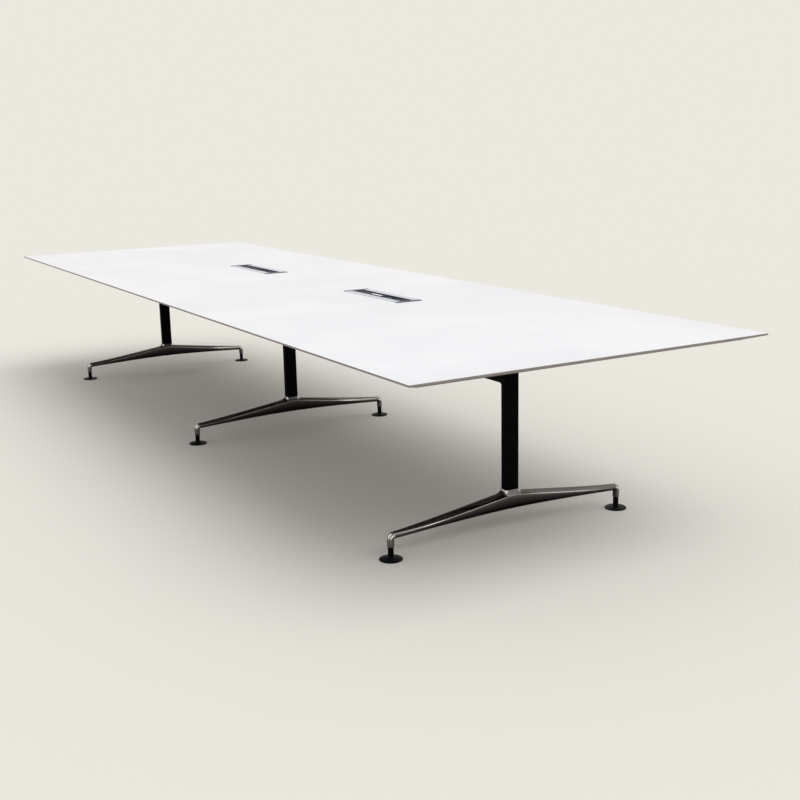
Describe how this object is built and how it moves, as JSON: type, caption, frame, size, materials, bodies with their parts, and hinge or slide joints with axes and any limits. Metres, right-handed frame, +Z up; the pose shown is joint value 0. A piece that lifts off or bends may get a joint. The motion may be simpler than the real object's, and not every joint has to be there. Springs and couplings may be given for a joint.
{
  "type": "conference table",
  "caption": "Long rectangular conference table with a white top on black columns, polished cast T feet with levelling glides, a beam between the legs and power troughs let into the top.",
  "frame": {"origin": "on the floor under the middle of the top", "axes": "+X along the table's length, towards the right-hand end in the picture; +Y across it, towards the troughs' side; +Z up"},
  "size_m": [4.8, 1.46, 0.742],
  "materials": {
    "laminate": "white satin laminate on board",
    "black_paint": "matt black powder coat",
    "polished_cast": "polished casting",
    "glide_plastic": "satin moulded plastic",
    "zinc": "zinc plated",
    "anodised": "satin anodised",
    "dark_plastic": "satin moulded plastic",
    "socket_plastic": "satin moulded plastic",
    "white_plastic": "white moulded plastic"
  },
  "bodies": {
    "table": {"table_top": "laminate", "column_left": "black_paint", "foot_left": "polished_cast", "cross_arm_left": "black_paint", "foot_bolt_left": "zinc", "head_bolt_left": "zinc", "top_screw_left_front": "zinc", "top_screw_left_back": "zinc", "column_middle": "black_paint", "foot_middle": "polished_cast", "cross_arm_middle": "black_paint", "foot_bolt_middle": "zinc", "head_bolt_middle": "zinc", "top_screw_middle_front": "zinc", "top_screw_middle_back": "zinc", "column_right": "black_paint", "foot_right": "polished_cast", "cross_arm_right": "black_paint", "foot_bolt_right": "zinc", "head_bolt_right": "zinc", "top_screw_right_front": "zinc", "top_screw_right_back": "zinc", "beam_left": "black_paint", "beam_screw_left_inner_front": "zinc", "beam_screw_left_inner_back": "zinc", "beam_screw_left_outer_front": "zinc", "beam_screw_left_outer_back": "zinc", "beam_right": "black_paint", "beam_screw_right_inner_front": "zinc", "beam_screw_right_inner_back": "zinc", "beam_screw_right_outer_front": "zinc", "beam_screw_right_outer_back": "zinc", "trough_left": "anodised", "trough_cap_left_left": "dark_plastic", "trough_cap_left_right": "dark_plastic", "socket_strip_left": "socket_plastic", "data_plate_left": "white_plastic", "trough_clamp_left_front": "zinc", "trough_clamp_left_back": "zinc", "trough_right": "anodised", "trough_cap_right_left": "dark_plastic", "trough_cap_right_right": "dark_plastic", "socket_strip_right": "socket_plastic", "data_plate_right": "white_plastic", "trough_clamp_right_front": "zinc", "trough_clamp_right_back": "zinc"},
    "glide_left_front": {"glide_pad_left_front": "glide_plastic", "glide_stud_left_front": "zinc"},
    "glide_left_back": {"glide_pad_left_back": "glide_plastic", "glide_stud_left_back": "zinc"},
    "glide_middle_front": {"glide_pad_middle_front": "glide_plastic", "glide_stud_middle_front": "zinc"},
    "glide_middle_back": {"glide_pad_middle_back": "glide_plastic", "glide_stud_middle_back": "zinc"},
    "glide_right_front": {"glide_pad_right_front": "glide_plastic", "glide_stud_right_front": "zinc"},
    "glide_right_back": {"glide_pad_right_back": "glide_plastic", "glide_stud_right_back": "zinc"}
  },
  "joints": [
    {"name": "glide_left_front_height", "type": "slide", "parent": "table", "child": "glide_left_front", "axis": [0, 0, 1], "range_m": [-0.02, 0]},
    {"name": "glide_left_back_height", "type": "slide", "parent": "table", "child": "glide_left_back", "axis": [0, 0, 1], "range_m": [-0.02, 0]},
    {"name": "glide_middle_front_height", "type": "slide", "parent": "table", "child": "glide_middle_front", "axis": [0, 0, 1], "range_m": [-0.02, 0]},
    {"name": "glide_middle_back_height", "type": "slide", "parent": "table", "child": "glide_middle_back", "axis": [0, 0, 1], "range_m": [-0.02, 0]},
    {"name": "glide_right_front_height", "type": "slide", "parent": "table", "child": "glide_right_front", "axis": [0, 0, 1], "range_m": [-0.02, 0]},
    {"name": "glide_right_back_height", "type": "slide", "parent": "table", "child": "glide_right_back", "axis": [0, 0, 1], "range_m": [-0.02, 0]}
  ]
}
